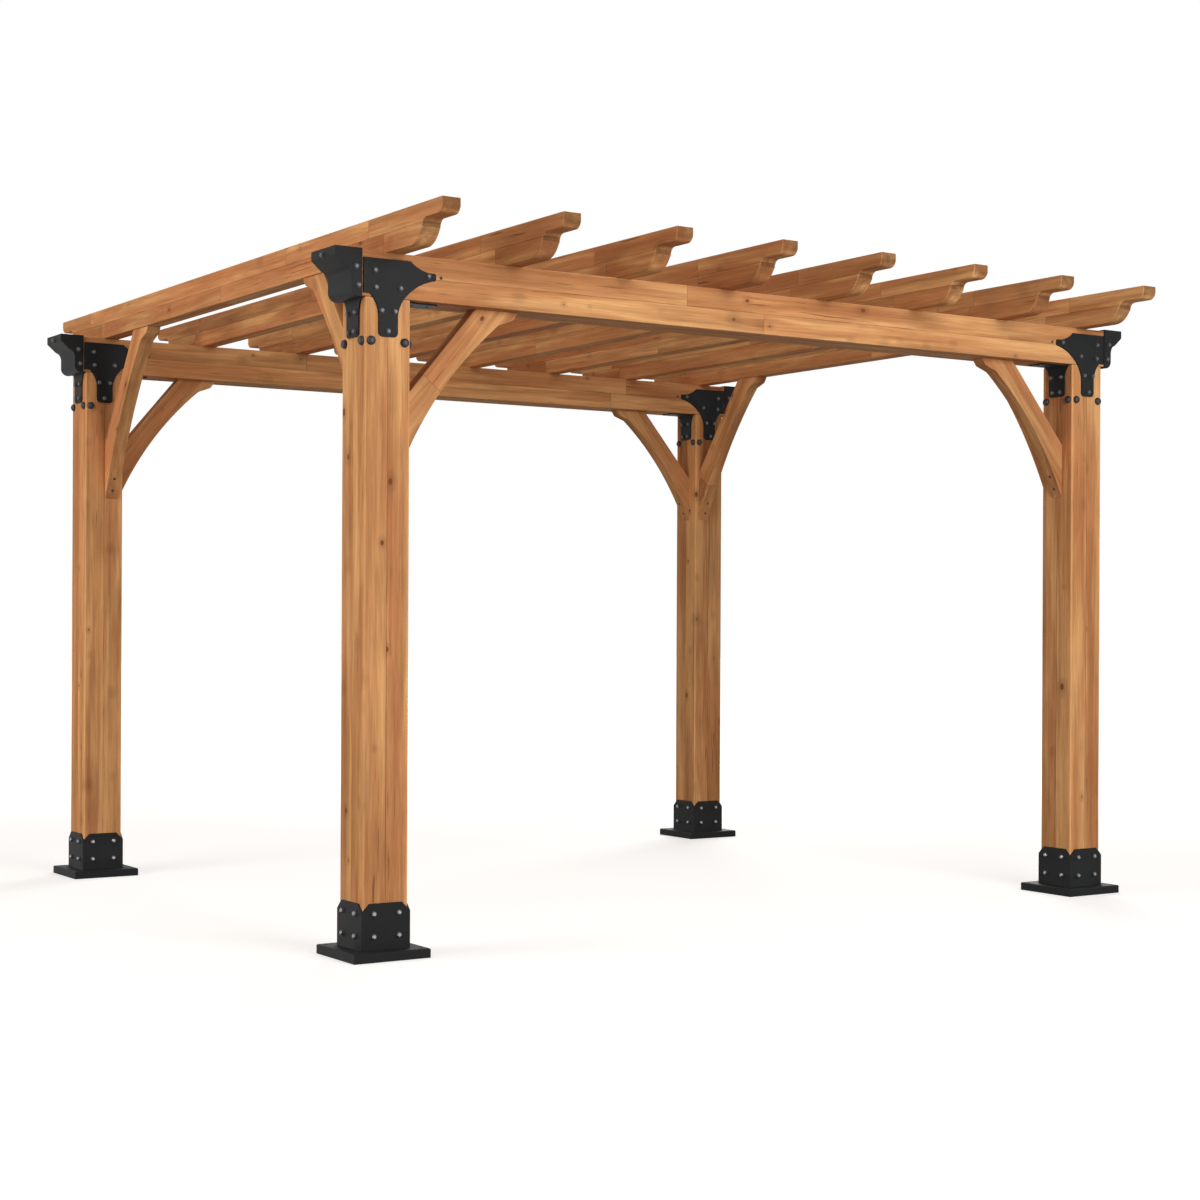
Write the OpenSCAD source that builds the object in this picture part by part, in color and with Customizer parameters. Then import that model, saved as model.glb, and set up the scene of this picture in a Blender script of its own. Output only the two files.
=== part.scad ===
// Open timber pergola: four laminated posts in steel bases, two long beams with steel end caps,
// a row of shaped rafters across them, and arched knee braces both ways at every post.
// X runs along the beams, Y along the rafters, Z up. The origin is on the ground, at the centre.

/* [Overall] */
// Distance between post centres along the beams
span_x = 3005; // [2200:5:4200]
// Distance between post centres along the rafters
span_y = 2450; // [1800:10:3600]
// Height of the beams' underside above the ground
headroom = 2022; // [1800:2:2600]

/* [Posts] */
// Side of a square laminated post, and the thickness of a beam
post_w = 155; // [120:1:200]

/* [Post bases] */
// Thickness of the foot flange
flange_t = 29; // [12:1:40]
// How far the flange reaches beyond the sleeve on every side
flange_lip = 47; // [35:1:80]
// Bevel along the flange's upper edge
flange_bevel = 3; // [1:1:8]
// Height of the sleeve above the flange
sleeve_h = 143; // [90:1:250]
// Wall of the sleeve
sleeve_t = 6; // [3:0.5:10]
// Clipped corner at the top of each sleeve wall
sleeve_clip = 28; // [10:1:45]
// Diameter of an anchor hole
anchor_d = 12; // [8:1:16]
// Anchor hole centre to the flange's edges
anchor_edge = 22; // [14:1:24]

/* [Beams] */
// Depth of a beam
beam_d = 139; // [110:1:220]
// Reach of a capped beam end beyond the post
beam_overhang = 105; // [80:1:200]

/* [Rafters] */
// Number of rafters
rafter_count = 8; // [4:1:12]
// Thickness of a rafter
rafter_t = 64; // [35:1:80]
// Depth of a rafter
rafter_d = 119; // [100:1:200]
// Reach of a rafter beyond the beam's outer face
rafter_overhang = 342; // [250:2:600]
// End rafter's centre line inside the post's centre line
rafter_inset = 30; // [0:1:40]

/* [Rafter tails] */
// Upright end at the top of the tail
tail_tip = 20; // [8:1:30]
// Radius of the rounded nose
tail_nose_r = 27; // [15:1:35]
// Tip to the upright face behind the nose
tail_root = 122; // [90:1:160]
// Radius of the hollow behind the nose
tail_cove_r = 24; // [10:1:26]
// Backward lean of the upright face
tail_lean = 10; // [0:1:20]
// Height of the lower lobe
tail_lobe_h = 34; // [20:1:40]
// Tip to the start of the straight underside
tail_foot = 196; // [185:1:240]

/* [Braces] */
// Thickness of a brace
brace_t = 55; // [35:1:80]
// Foot of every brace below the beams' underside
brace_drop = 507; // [420:2:700]
// Upright cut of a beam brace against the post
beam_brace_cut = 201; // [150:2:240]
// Post to the upper edge of a beam brace, along the beam
beam_brace_shoulder = 260; // [220:1:300]
// Post to the nose of a beam brace, along the beam
beam_brace_reach = 418; // [380:1:560]
// Upright cut of a rafter brace against the post
rafter_brace_cut = 232; // [180:2:260]
// Post to the upper edge of a rafter brace, along the rafter
rafter_brace_shoulder = 305; // [260:1:340]
// Post to the nose of a rafter brace, along the rafter
rafter_brace_reach = 456; // [430:1:600]
// Height of a brace's slanted nose
brace_nose_h = 26; // [10:1:40]
// Lean of a brace's nose, back towards the post
brace_nose_lean = 18; // [5:1:30]
// Tip of the nose to the start of the arch
brace_nose_len = 72; // [50:1:90]
// Fall from the nose to the start of the arch
brace_nose_fall = 20; // [8:1:32]
// Rise of the arch above its chord
brace_bow = 33; // [20:1:60]

/* [Brackets] */
// Thickness of the bracket plates and the end caps
plate_t = 5; // [3:0.5:8]
// Top of a face plate below the beam's top
head_drop = 21; // [5:1:35]
// Reach of a face plate's head beyond the post's outer face
head_out = 8; // [0:0.5:9]
// Lower edge of a face plate's head above the beam's underside
head_low = 9; // [2:1:20]
// Reach of a face plate's finger past the post
finger_reach = 88; // [50:1:140]
// Blunt height of the finger's tip
finger_h = 24; // [12:1:32]
// Middle of the finger above the beam's underside
finger_z = 76; // [55:1:85]
// Rounding of the finger's tip
finger_r = 7; // [3:0.5:8]
// Swell of the hollows above and below the finger
finger_bow = 9; // [2:1:12]
// Length of a bracket leg below the beam
leg_len = 120; // [90:1:180]
// Width of a face plate's leg
leg_w = 66; // [45:1:90]
// Width of the legs under an end cap and on an angle
side_leg_w = 82; // [50:1:100]
// Length over which a leg narrows from its root
leg_neck = 58; // [40:1:70]
// Inset of a leg's root from the post's edges
leg_inset = 15; // [5:1:20]
// Rounding at a leg's end
leg_r = 14; // [6:1:20]
// Swell of the concave shoulders
shoulder_bow = 7; // [2:1:10]

/* [End caps] */
// Open end of a cap beyond the post
cap_gap = 12; // [10:1:16]
// Upright tip of an end cap
cap_tip = 28; // [12:1:40]
// Reach of the corbel's shelf beyond the post
cap_shelf = 72; // [62:1:80]
// Width of the shelf
cap_shelf_w = 15; // [8:1:18]
// Fall of the shelf towards the post
cap_shelf_fall = 8; // [0:1:10]
// Outer edge of the shelf below the cap's top
cap_shelf_drop = 57; // [50:1:64]
// Reach of the corbel's neck beyond the post
cap_neck = 48; // [40:1:54]
// Height of the hollow under the shelf
cap_hollow_h = 30; // [20:1:34]
// Depth of the hollow behind its chord
cap_hollow = 3; // [1:0.5:6]
// Radius at the foot of the corbel
cap_foot_r = 27; // [10:1:28]

/* [Hidden] */
WOOD = [0.72, 0.46, 0.22];
STEEL = [0.19, 0.20, 0.21];

sleeve_w = post_w + 2 * sleeve_t;
flange_w = sleeve_w + 2 * flange_lip;
anchor_pitch = flange_w - 2 * anchor_edge;
beam_top = headroom + beam_d;
outer_x = span_x / 2 + post_w / 2;
outer_y = span_y / 2 + post_w / 2;
rafter_len = 2 * (outer_y + rafter_overhang);
end_rafter_x = span_x / 2 - rafter_inset;
rafter_pitch = 2 * end_rafter_x / (rafter_count - 1);
leg_root = post_w - 2 * leg_inset;
cut = 1;

CORNERS = [
    ["front_left", -1, -1],
    ["front_right", 1, -1],
    ["rear_left", -1, 1],
    ["rear_right", 1, 1],
];
SIDES = [["front_beam", -1], ["rear_beam", 1]];
CORNER_PIECES = [
    "post", "base", "beam_brace", "rafter_brace", "outer_plate", "inner_plate", "end_cap", "angle",
];
NODES = concat(
    [for (piece = CORNER_PIECES, c = CORNERS) str(c[0], "_", piece)],
    [for (s = SIDES) s[0]],
    [for (i = [1:rafter_count]) str("rafter_", i)]
);
node = "all";

// Points on an arc about a centre, from one angle to another
function arc(centre, r, a0, a1, n = 8) =
    [for (i = [0:n]) let (a = a0 + (a1 - a0) * i / n) centre + r * [cos(a), sin(a)]];

// Points on a shallow arc from p to q that swells to the left by a given height
function bow(p, q, swell, n = 14) =
    let (
        chord = norm(q - p),
        side = [p[1] - q[1], q[0] - p[0]] / chord,
        r = (chord * chord / 4 + swell * swell) / (2 * swell),
        centre = (p + q) / 2 + side * (swell - r),
        mid = atan2(side[1], side[0]),
        half = asin(chord / (2 * r))
    )
    arc(centre, r, mid + half, mid - half, n);

// Unit vector to the right of the way from p to q
function right_of(p, q) = [q[1] - p[1], p[0] - q[0]] / norm(q - p);

// Inner points of a line of points, moved to the right by a wall's thickness
function inset(points, t) =
    [
        for (i = [1:len(points) - 2])
            let (
                a = right_of(points[i - 1], points[i]),
                b = right_of(points[i], points[i + 1])
            )
            points[i] + t * (a + b) / (1 + a * b)
    ];

// Outline points moved to the other side of a beam, in reverse order
function mirrored(points, length) =
    [for (i = [len(points) - 1:-1:0]) [length - points[i][0], points[i][1]]];

// Plan and elevation helpers

// A flat outline in XZ, thick along Y from y0
module across_y(y0, t) {
    translate([0, y0 + t, 0]) rotate([90, 0, 0]) linear_extrude(t) children();
}

// A flat outline in YZ, thick along X from x0
module across_x(x0, t) {
    translate([x0, 0, 0]) rotate([90, 0, 90]) linear_extrude(t) children();
}

// Local frame of a post top: X runs inward from the post's outer face, Z from the beam's underside
module at_post_top(sx, sy) {
    translate([sx * outer_x, sy * span_y / 2, headroom]) mirror([max(sx, 0), 0, 0]) children();
}

// Posts and bases

module post(sx, sy) {
    color(WOOD)
        translate([sx * span_x / 2 - post_w / 2, sy * span_y / 2 - post_w / 2, flange_t])
            cube([post_w, post_w, headroom - flange_t]);
}

// One wall of the sleeve, with both upper corners clipped
module sleeve_wall() {
    half = sleeve_w / 2;
    across_y(-half, sleeve_t)
        polygon([
            [-half, 0],
            [half, 0],
            [half, sleeve_h - sleeve_clip],
            [half - sleeve_clip, sleeve_h],
            [sleeve_clip - half, sleeve_h],
            [-half, sleeve_h - sleeve_clip],
        ]);
}

// Flange with a bevelled upper edge on all four sides
module flange_plate() {
    half = flange_w / 2;
    outline = [
        [-half, 0],
        [half, 0],
        [half, flange_t - flange_bevel],
        [half - flange_bevel, flange_t],
        [flange_bevel - half, flange_t],
        [-half, flange_t - flange_bevel],
    ];
    intersection() {
        across_y(-half, flange_w) polygon(outline);
        across_x(-half, flange_w) polygon(outline);
    }
}

module base(sx, sy) {
    color(STEEL)
        translate([sx * span_x / 2, sy * span_y / 2, 0]) {
            difference() {
                flange_plate();
                for (ax = [-1, 1], ay = [-1, 1])
                    translate([ax * anchor_pitch / 2, ay * anchor_pitch / 2, -cut])
                        cylinder(d = anchor_d, h = flange_t + 2 * cut, $fn = 48);
            }
            translate([0, 0, flange_t])
                for (turn = [0:90:270])
                    rotate(turn) sleeve_wall();
        }
}

// Beams and their end caps

// Outside of an end cap from its foot up to its top, outward as negative X
function corbel() =
    let (
        top = beam_d + plate_t,
        shelf_z = top - cap_shelf_drop,
        shelf_root = [cap_shelf_w - cap_shelf, shelf_z - cap_shelf_fall]
    )
    concat(
        [[-cap_gap, -plate_t]],
        arc([cap_foot_r - cap_neck, cap_foot_r - plate_t], cap_foot_r, 270, 180, 6),
        bow([-cap_neck, shelf_root[1] - cap_hollow_h], shelf_root, -cap_hollow, 6),
        [
            [-cap_shelf, shelf_z],
            [-beam_overhang, top - cap_tip],
            [-beam_overhang, top],
            [-cap_gap, top],
        ]
    );

module beam(sy) {
    length = 2 * outer_x;
    end = inset(corbel(), plate_t);
    color(WOOD)
        translate([-outer_x, sy * span_y / 2, headroom])
            across_y(-post_w / 2, post_w)
                polygon(concat(end, mirrored(end, length)));
}

// Tapered leg of a bracket, hanging from a root of full width that laps onto a head above it
module leg_outline(width, root_z = 0, lap = 0) {
    end_z = leg_r - leg_len;
    edge = width / 2;
    root = leg_root / 2;
    polygon(concat(
        bow([edge, -leg_neck], [root, root_z], shoulder_bow),
        [[root, root_z + lap], [-root, root_z + lap]],
        bow([-root, root_z], [-edge, -leg_neck], shoulder_bow),
        arc([leg_r - edge, end_z], leg_r, 180, 270, 6),
        arc([edge - leg_r, end_z], leg_r, 270, 360, 6)
    ));
}

// Steel corbel over the end of a beam, with a leg down the post's outer face
module end_cap(sx, sy) {
    outer_w = post_w + 2 * plate_t;
    color(STEEL)
        at_post_top(sx, sy) {
            difference() {
                across_y(-outer_w / 2, outer_w) polygon(corbel());
                across_y(-post_w / 2, post_w)
                    polygon(concat([[0, 0]], inset(corbel(), plate_t), [[0, beam_d]]));
            }
            translate([-cap_gap - plate_t, -leg_root / 2, -plate_t])
                cube([cap_gap + plate_t, leg_root, plate_t]);
            across_x(-plate_t, plate_t) leg_outline(side_leg_w);
        }
}

// Steel angle in the inner corner between a post and the beam above it
module angle(sx, sy) {
    color(STEEL)
        at_post_top(sx, sy)
            translate([post_w, 0, 0]) {
                across_x(0, plate_t) leg_outline(side_leg_w);
                rotate([0, -90, 0])
                    mirror([1, 0, 0])
                        across_x(0, plate_t) leg_outline(side_leg_w);
            }
}

// Face plate over the joint of post and beam: a head with a finger along the beam, and a leg
module face_plate_outline() {
    head_top = beam_d - head_drop;
    finger_x = post_w + finger_reach - finger_r;
    finger_top = finger_z + finger_h / 2;
    finger_low = finger_z - finger_h / 2;
    polygon(concat(
        [[-head_out, head_top], [-head_out, head_low]],
        bow([post_w - leg_inset, head_low], [finger_x, finger_low], finger_bow),
        arc([finger_x, finger_low + finger_r], finger_r, 270, 360, 4),
        arc([finger_x, finger_top - finger_r], finger_r, 0, 90, 4),
        bow([finger_x, finger_top], [post_w, head_top], finger_bow)
    ));
    translate([post_w / 2, 0]) leg_outline(leg_w, head_low, cut);
}

module face_plate(sx, sy, y0) {
    color(STEEL)
        at_post_top(sx, sy)
            across_y(y0, plate_t) face_plate_outline();
}

// Rafters

// Shaped tail from the top of its tip down to the start of the underside
function tail() =
    let (
        nose_z = rafter_d - tail_tip,
        under_z = nose_z - tail_nose_r,
        cove_x = tail_root - tail_cove_r,
        lobe_w = tail_foot - tail_root - tail_lean,
        lobe_r = (lobe_w * lobe_w + tail_lobe_h * tail_lobe_h) / (2 * tail_lobe_h),
        lobe_turn = 2 * atan2(tail_lobe_h, lobe_w)
    )
    concat(
        [[0, rafter_d]],
        arc([tail_nose_r, nose_z], tail_nose_r, 180, 270),
        arc([cove_x, under_z - tail_cove_r], tail_cove_r, 90, 0),
        arc([tail_foot, lobe_r], lobe_r, 270 - lobe_turn, 270)
    );

module rafter(i) {
    x = -end_rafter_x + (i - 1) * rafter_pitch;
    end = tail();
    color(WOOD)
        translate([0, -rafter_len / 2, beam_top])
            across_x(x - rafter_t / 2, rafter_t)
                polygon(concat(end, mirrored(end, rafter_len)));
}

// Braces

// Arched brace in a corner: X out from the post, Z down from the timber above
module brace_outline(drop, upright, shoulder, reach) {
    arch_end = [reach - brace_nose_len, -brace_nose_h - brace_nose_fall];
    nose = [[reach - brace_nose_lean, -brace_nose_h], [reach, 0]];
    polygon(concat(
        bow([0, -drop], arch_end, brace_bow, 24),
        nose,
        [[shoulder, 0], [0, upright - drop]]
    ));
}

module beam_brace(sx, sy) {
    color(WOOD)
        at_post_top(sx, sy)
            translate([post_w, 0, 0])
                across_y(-brace_t / 2, brace_t)
                    brace_outline(brace_drop, beam_brace_cut, beam_brace_shoulder, beam_brace_reach);
}

module rafter_brace(sx, sy) {
    color(WOOD)
        translate([sx * end_rafter_x, sy * (span_y / 2 - post_w / 2), beam_top])
            mirror([0, max(sy, 0), 0])
                across_x(-brace_t / 2, brace_t)
                    brace_outline(
                        brace_drop + beam_d, rafter_brace_cut, rafter_brace_shoulder, rafter_brace_reach
                    );
}

// Every piece, drawn by name

function wanted(name) = node == "all" || node == name;

for (c = CORNERS) {
    sx = c[1];
    sy = c[2];
    outer_face = sy > 0 ? post_w / 2 : -post_w / 2 - plate_t;
    inner_face = sy > 0 ? -post_w / 2 - plate_t : post_w / 2;
    if (wanted(str(c[0], "_post"))) post(sx, sy);
    if (wanted(str(c[0], "_base"))) base(sx, sy);
    if (wanted(str(c[0], "_beam_brace"))) beam_brace(sx, sy);
    if (wanted(str(c[0], "_rafter_brace"))) rafter_brace(sx, sy);
    if (wanted(str(c[0], "_outer_plate"))) face_plate(sx, sy, outer_face);
    if (wanted(str(c[0], "_inner_plate"))) face_plate(sx, sy, inner_face);
    if (wanted(str(c[0], "_end_cap"))) end_cap(sx, sy);
    if (wanted(str(c[0], "_angle"))) angle(sx, sy);
}
for (s = SIDES)
    if (wanted(s[0])) beam(s[1]);
for (i = [1:rafter_count])
    if (wanted(str("rafter_", i))) rafter(i);
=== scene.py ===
"""Finish of an open timber pergola: glued boards, coated steel, fasteners and a plain studio."""

import math
import random

import bmesh
import bpy
from mathutils import Matrix, Vector
from mathutils.bvhtree import BVHTree


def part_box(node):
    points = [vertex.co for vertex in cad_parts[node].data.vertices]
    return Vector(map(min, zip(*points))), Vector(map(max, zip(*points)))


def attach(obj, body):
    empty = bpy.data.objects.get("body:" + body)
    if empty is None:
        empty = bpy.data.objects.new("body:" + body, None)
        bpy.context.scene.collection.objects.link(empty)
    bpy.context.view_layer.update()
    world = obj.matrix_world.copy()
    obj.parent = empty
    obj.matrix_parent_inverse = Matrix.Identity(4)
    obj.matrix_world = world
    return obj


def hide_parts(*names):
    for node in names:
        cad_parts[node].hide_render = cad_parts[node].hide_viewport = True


bl_info = {
    "name": "Pergola finish",
    "version": (1, 0, 0),
    "blender": (4, 5, 0),
    "location": "View3D > Sidebar > Pergola",
    "description": "Dresses the frame of a timber pergola with boards, steel and fasteners",
    "category": "Object",
}

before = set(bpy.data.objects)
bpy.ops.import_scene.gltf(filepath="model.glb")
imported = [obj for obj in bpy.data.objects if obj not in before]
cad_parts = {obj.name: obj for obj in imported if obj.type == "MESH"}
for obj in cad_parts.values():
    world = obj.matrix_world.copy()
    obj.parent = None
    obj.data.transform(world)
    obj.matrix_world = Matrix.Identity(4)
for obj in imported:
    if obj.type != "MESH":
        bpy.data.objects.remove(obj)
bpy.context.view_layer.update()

# Where the frame puts things

BODY = "root"
CORNERS = {
    "front_left": (-1, -1), "front_right": (1, -1),
    "rear_left": (-1, 1), "rear_right": (1, 1),
}
RAFTERS = sorted(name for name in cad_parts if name.startswith("rafter_"))
BEAMS = ("front_beam", "rear_beam")
BRACKETS = ("outer_plate", "inner_plate", "end_cap", "angle")
FACES = ((1, 0), (-1, 0), (0, 1), (0, -1))
X_AXIS, Y_AXIS, Z_AXIS = Vector((1, 0, 0)), Vector((0, 1, 0)), Vector((0, 0, 1))
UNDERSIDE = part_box("front_beam")[0].z
POST_LOW, POST_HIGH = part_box("front_right_post")
POST_W = POST_HIGH.x - POST_LOW.x
OUTER_X = POST_HIGH.x
POST_X = (POST_LOW.x + POST_HIGH.x) / 2
POST_Y = abs(POST_LOW.y + POST_HIGH.y) / 2
FLANGE_TOP = POST_LOW.z

# Mesh work: how near two points are one, and which angles count as flat, an edge or a crease

WELD, CUT = 1e-5, 1e-6
FLAT_ANGLE, EDGE_ANGLE, CREASE_ANGLE = math.radians(0.5), math.radians(30), math.radians(38)
TIMBER_STEPS, STEEL_STEPS = 3, 2

# Boards: their lengths, how far finger joints stray, and how their grain is cut from the tree

POST_BOARD, BEAM_BOARD = 3.4, 1.7
FIRST_BOARD, NEXT_BOARD, LEAST_BOARD = (0.35, 1.0), (0.75, 1.15), 0.3
JOINT_OVER_BEAM, JOINT_BETWEEN = 0.09, 0.6
# Finger joints of the braces that show one, along the brace from its middle
BRACE_JOINTS = {"front_left_beam_brace": [-0.06], "rear_right_rafter_brace": [-0.22]}
PITH_AWAY, GRAIN_RUN = (0.05, 0.13), 40.0
ARRIS_TILT = (0.15, 0.985)
FACE_VALUES = ("tone", "heart", "end", "arris")
FAR_OFF = 10.0

# Each timber's stain: red heart, and edge lightening that is partly rubbed stain, partly painted
# highlight

STAINS = {"post": (0.33, 0.5), "beam": (0.32, 0.2), "rafter": (0.46, 0.1), "brace": (0.40, 0.15)}
# Noise along the grain: waves to a metre along and across, detail, roughness, distortion
GRAIN = {
    "wander": (1.1, 7.0, 2.0, 0.5, 0.0),
    "band": (1.0, 17.0, 3.0, 0.55, 0.25),
    "streak": (2.2, 62.0, 3.0, 0.6, 0.2),
    "fleck": (9.0, 150.0, 3.0, 0.65, 0.0),
    "fibre": (9.0, 420.0, 3.0, 0.65, 0.0),
    "patch": (1.1, 12.0, 3.0, 0.55, 0.25),
    "blotch": (4.0, 8.0, 2.0, 0.5, 0.0),
    "check": (5.0, 150.0, 1.0, 0.5, 0.0),
    "seam": (7.0, 2.0, 2.0, 0.5, 0.0),
}
# Where each kind of noise sets in and is full
BAND_AT, STREAK_AT, RED_AT = (0.38, 0.64), (0.38, 0.66), (0.42, 0.56)
CHECK_AT, CHECKED_PATCH_AT, SEAM_AT, END_AT = (0.67, 0.73), (0.50, 0.62), (0.40, 0.62), (0.35, 0.9)
# How much of each mark shows
BAND_SHARE, STREAK_SHARE, HEART_SHARE, LATE_SHARE = 0.49, 0.24, 0.2, 0.24
KNOT_SHARE, CHECK_SHARE, GLUE_SHARE, BUTT_SHARE, FAINT_SEAM = 0.86, 0.6, 0.78, 0.6, 0.25
# Light and dark over the stain: gain and offset of each
FIBRE_SHADE, FLECK_SHADE, BLOTCH_SHADE = (0.20, 0.90), (0.54, 0.74), (0.40, 0.80)
TONE_SHADE, HALO_SHADE, END_SHADE = (0.09, 1.0), (-0.22, 1.0), 0.46
# Knots: cells to a metre, which cells hold one, and its radius as gain and offset
KNOT_CELLS, KNOT_CHOICE, KNOT_RADIUS = (8.5, 12.0, 12.0), (0.42, 0.48), (0.095, 0.036)
KNOT_EDGE, HALO_EDGE, NO_KNOT = (0.7, 1.05), (0.8, 3.6), 0.0005
# Growth rings: how far they wander and swell round knots, their rise and how years differ
RING_WANDER, RING_SWELL, RING_RISE, YEARS = 0.028, 0.007, 2.2, (0.7, 0.3)
FIBRE_RELIEF, LATE_RELIEF, CRACK_RELIEF = 0.5, 0.25, 0.8
TIMBER_ROUGHNESS, TIMBER_SHINE, TIMBER_BUMP = (0.16, 0.62), 0.06, (0.55, 0.0009)

# Finishes of the steel and the small parts

CLOUD_WAVES, BLOOM_WAVES, SCUFF_WAVES = 9.0, 260.0, 320.0
GRIT_AT, CLOUD_AT, BLOOM_AT, SCUFF_AT = (0.45, 0.72), (0.4, 0.7), (0.35, 0.75), (0.5, 0.78)
# How much lighter or darker grit, dust and bloom are than the metal's own colour
GRIT_GAIN, DUST_GAIN, BLOOM_GAIN, DUST_SHARE = 1.9, 1.7, 0.72, 0.35
GRIT_ROUGHNESS, COAT_BUMP, COAT_SWAY = 0.6, (0.5, 0.0005), 0.14
DULL_AT, ZINC_SWAY, SMALL_SWAY = (0.3, 0.8), 0.18, 0.2
COAT_SHINE, SMALL_SHINE = 0.13, 0.4
# Bolts' plating: roughness on the bases and on the brackets
BASE_DULL, BRACKET_DULL = 0.34, 0.56
# Small dark parts: colour, colour of the scuffs, roughness
SMALL_PARTS = {
    "washer_black": ((0.010, 0.010, 0.011), (0.028, 0.028, 0.030), 0.5),
    "knob_black": ((0.012, 0.012, 0.013), (0.03, 0.03, 0.032), 0.42),
    "screw_bronze": ((0.03, 0.022, 0.017), (0.08, 0.06, 0.045), 0.4),
}

# Fasteners: sides, whether they shade smooth, and rings as shares of radius and height

FORMS = {
    "washer": (20, False, ((1.0, 0.0), (1.0, 0.6), (0.93, 1.0))),
    "bolt": (6, False, ((1.0, 0.0), (1.0, 0.66), (0.74, 1.0))),
    "knob": (20, True, ((1.0, 0.0), (1.0, 0.3), (0.95, 0.5), (0.82, 0.72), (0.6, 0.89),
                        (0.32, 0.98))),
    "screw": (14, True, ((1.0, 0.0), (0.97, 0.6), (0.82, 1.0), (0.45, 0.95), (0.36, 0.2))),
}
# Base bolts: from the middle of a face, and up from the flange
BASE_SPREAD, BASE_ROWS = 0.043, (0.043, 0.112)
# Bracket bolts: inward from the post's outer face, and up from the beam's underside
PLATE_BOLTS = ((0.030, 0.080), (0.033, 0.028), (0.117, 0.031), (0.214, 0.077),
               (0.053, -0.041), (0.098, -0.041), (0.075, -0.103))
CAP_SIDE_BOLTS = ((-0.034, 0.086), (-0.026, 0.030))
CAP_END_Z = 0.124
BEAM_SCREW = (0.262, 0.077)
# Leg bolts: to each side of the middle, and up from the beam's underside
LEG_ROWS = ((0.026, -0.045), (0.020, -0.103))
# Screws along an angle's arm from the post, and up from a brace's foot
ARM_SCREWS, FOOT_SCREWS = (0.045, 0.100), (0.034, 0.080)
# Knobs: in from the post's edge, and down from the beam's underside
KNOB_EDGE, KNOB_DROP = 0.020, 0.134

# Floor, light and camera

FLOOR_HALF, FLOOR_DROP = 40.0, 0.001
FLOOR_GREY, FLOOR_BOUNCE = (0.55, 0.55, 0.55, 1.0), (0.15, 0.14, 0.13, 1.0)
# Floor's own glow: where it starts to grow and is full, and its strength there
GLOW_AT, GLOW = (2.5, 8.0), (0.57, 1.0)
WHITE, SKY_TINT = (1.0, 1.0, 1.0, 1.0), (1.0, 0.90, 0.80, 1.0)
SENSOR_MM, FAR_CLIP = 36.0, 200.0
LAMP_SIZE = 3.0
# Lamps: where each hangs, where it points and its tint
LAMPS = {
    "front": ((0.0, -5.7, 2.3), (0.1, 0.0, 1.4), (1.0, 0.99, 0.97)),
    "left": ((-6.3, 0.2, 1.4), (0.0, 0.0, 1.4), (1.0, 0.94, 0.88)),
    "upper": ((-5.5, -0.5, 5.0), (0.0, 0.0, 1.8), (1.0, 0.94, 0.88)),
    "back": ((4.8, 4.5, 3.8), (0.0, 0.0, 1.4), (1.0, 0.97, 0.93)),
}

# Settings that a user would change


def length(name, description, default):
    """A size in metres."""
    return bpy.props.FloatProperty(
        name=name, description=description, default=default, min=0.0, unit="LENGTH")


def share(name, description, default):
    """A plain number from nothing to one."""
    return bpy.props.FloatProperty(
        name=name, description=description, default=default, min=0.0, max=1.0, subtype="FACTOR")


def colour(name, description, default):
    """A colour as the shader takes it."""
    return bpy.props.FloatVectorProperty(
        name=name, description=description, default=default, min=0.0, max=1.0, size=3,
        subtype="COLOR")


def degrees(name, description, default):
    """An angle, with its default in degrees."""
    return bpy.props.FloatProperty(
        name=name, description=description, default=math.radians(default), subtype="ANGLE",
        unit="ROTATION")


def watts(name, description, default):
    """Power of a lamp."""
    return bpy.props.FloatProperty(
        name=name, description=description, default=default, min=0.0, unit="POWER")


class PergolaTimber(bpy.types.PropertyGroup):
    arris: length("Arris", "Rounding along the edges of beams, rafters and braces", 0.0035)
    post_arris: length("Post arris", "Rounding along the edges of the posts", 0.0055)
    ring: length("Growth ring", "Spacing of the growth rings", 0.0052)
    glue_line: length("Glue line", "Width of a glue line between two boards", 0.0019)
    pale: colour("Pale wood", "Stained early wood", (0.74, 0.400, 0.170))
    brown: colour("Brown wood", "Stained late wood and darker streaks", (0.30, 0.112, 0.040))
    red: colour("Red heart", "Stained heartwood", (0.42, 0.142, 0.055))
    knot: colour("Knots", "Stained knots", (0.180, 0.050, 0.016))
    crack: colour("Cracks", "Checks and glue lines", (0.070, 0.023, 0.009))


class PergolaSteel(bpy.types.PropertyGroup):
    edge: length("Edge", "Rounding along the edges of the coated plates", 0.0012)
    coat: colour("Coat", "Black powder coat", (0.0089, 0.0095, 0.0102))
    roughness: share("Roughness", "Roughness of the powder coat", 0.58)
    grit: length("Grit", "Size of the coat's fine texture", 0.0016)


class PergolaFasteners(bpy.types.PropertyGroup):
    bolt_across: length("Bolt head", "Width of a hexagon head across its corners", 0.0155)
    bolt_height: length("Bolt height", "Height of a hexagon head", 0.0075)
    washer: length("Washer", "Diameter of a washer", 0.0200)
    washer_t: length("Washer thickness", "Thickness of a washer", 0.0018)
    knob: length("Knob", "Diameter of a knob on a post", 0.028)
    knob_height: length("Knob height", "Height of a knob on a post", 0.013)
    screw: length("Screw head", "Diameter of a screw head in a brace", 0.011)
    screw_height: length("Screw height", "Height of a screw head in a brace", 0.002)
    zinc: colour("Zinc", "Plated bolts of the bases", (0.29, 0.293, 0.297))
    # Painted shade: the brackets' bolts share the bases' plating, made darker so that they give
    # back less of the lamps' light
    shaded_zinc: colour("Dull zinc", "Weathered bolts of the brackets", (0.12, 0.122, 0.125))


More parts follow.
